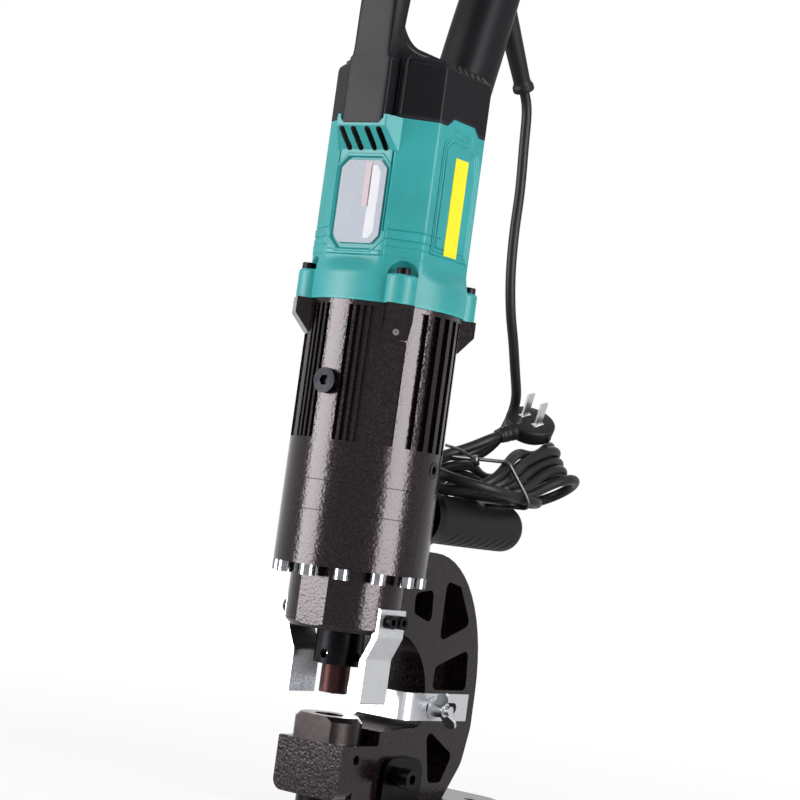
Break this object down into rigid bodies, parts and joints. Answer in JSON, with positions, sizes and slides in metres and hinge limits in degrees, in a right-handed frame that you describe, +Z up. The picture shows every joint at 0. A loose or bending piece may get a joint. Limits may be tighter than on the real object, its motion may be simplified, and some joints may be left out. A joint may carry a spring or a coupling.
{
  "type": "electro-hydraulic hole punch",
  "caption": "Portable electro-hydraulic hole punch: C-frame with punch and die, ribbed pump, motor housing, D-handle, side handle, back gauge and a hanked cord.",
  "frame": {"origin": "on the punch axis at the underside of the base plate", "axes": "+Z up along the punch axis; the open jaw faces -Y; the gauge's wing nut is on +X"},
  "size_m": [0.0992, 0.2738, 0.61],
  "materials": {
    "teal_paint": "satin teal enamel",
    "hammertone": "brown hammertone enamel",
    "black_plastic": "fine moulded texture",
    "grip_rubber": "soft moulded grip",
    "black_steel": "black oxide",
    "zinc_steel": "zinc plated",
    "bright_steel": "ground",
    "punch_steel": "heat tinted tool steel",
    "bronze": "turned bronze",
    "copper_core": "varnished copper",
    "core_steel": "laminated steel",
    "seal_rubber": "smooth",
    "cast_aluminium": "as cast",
    "white_nylon": "moulded",
    "plate_metal": "bare label plate",
    "yellow_label": "plain strip",
    "cord_rubber": "smooth jacket",
    "carbon": "graphite"
  },
  "bodies": {
    "tool_body": {"base_plate": "black_steel", "base_brackets": "black_steel", "base_screws": "black_steel", "c_frame": "hammertone", "die": "black_steel", "die_set_screw": "black_steel", "stripper_left": "zinc_steel", "stripper_right": "zinc_steel", "stripper_screws": "black_steel", "frame_bolts": "zinc_steel", "guide_bush": "bronze", "return_spring": "bright_steel", "gauge_stud": "bright_steel", "gauge_washer": "zinc_steel", "cylinder": "hammertone", "port_plug": "black_steel", "pump_housing": "hammertone", "oil_filler_plug": "black_steel", "bleed_screw": "bright_steel", "pump_block": "bright_steel", "plungers": "bright_steel", "plunger_springs": "bright_steel", "plunger_plugs": "black_steel", "relief_valve": "bronze", "oil_bladder": "seal_rubber", "housing_screws": "black_steel", "bearing_plate": "cast_aluminium", "shaft_seal": "seal_rubber", "front_bearing": "bright_steel", "rear_bearing": "bright_steel", "stator": "core_steel", "brush_holders": "bronze", "carbon_brushes": "carbon", "motor_housing": "teal_paint", "nameplate": "plate_metal", "side_strip": "yellow_label", "handle_shell_left": "black_plastic", "handle_shell_right": "black_plastic", "handle_screws": "black_steel", "switch_body": "black_plastic", "cable_boot": "cord_rubber", "power_cord": "cord_rubber", "cord_hank": "cord_rubber", "cord_tie": "black_plastic", "plug_body": "cord_rubber", "plug_pins": "zinc_steel", "side_grip": "grip_rubber", "side_collar": "black_plastic", "side_stud": "bright_steel"},
    "ram": {"piston_rod": "bright_steel", "piston_seal": "seal_rubber", "punch": "punch_steel", "punch_nut": "black_steel"},
    "gauge": {"gauge_plate": "zinc_steel"},
    "gauge_nut": {"wing_nut": "zinc_steel"},
    "rotor": {"armature": "copper_core", "cooling_fan": "white_nylon", "eccentric_bearing": "bright_steel"},
    "trigger": {"trigger": "black_plastic"},
    "lock_button": {"lock_button": "black_plastic"}
  },
  "joints": [
    {"name": "ram_stroke", "type": "slide", "parent": "tool_body", "child": "ram", "axis": [0, 0, -1], "range_m": [0, 0.018], "stiffness_N_per_m": 3000, "springref_m": -0.02, "deforming": ["return_spring"]},
    {"name": "gauge_slide", "type": "slide", "parent": "tool_body", "child": "gauge", "axis": [0, 1, 0], "range_m": [-0.023, 0.005]},
    {"name": "wing_nut_turn", "type": "hinge", "parent": "tool_body", "child": "gauge_nut", "pos_m": [0.03, 0.0735, 0.07075], "axis": [1, 0, 0], "range_deg": [0, 360]},
    {"name": "motor_spin", "type": "hinge", "parent": "tool_body", "child": "rotor", "pos_m": [0, 0, 0.37], "axis": [0, 0, 1], "continuous": true},
    {"name": "trigger_pull", "type": "slide", "parent": "tool_body", "child": "trigger", "axis": [0, 0.9632, -0.2689], "range_m": [0, 0.006], "stiffness_N_per_m": 600, "springref_m": -0.004},
    {"name": "lock_button_press", "type": "slide", "parent": "tool_body", "child": "lock_button", "axis": [1, 0, 0], "range_m": [0, 0.003], "stiffness_N_per_m": 500, "springref_m": -0.002}
  ]
}
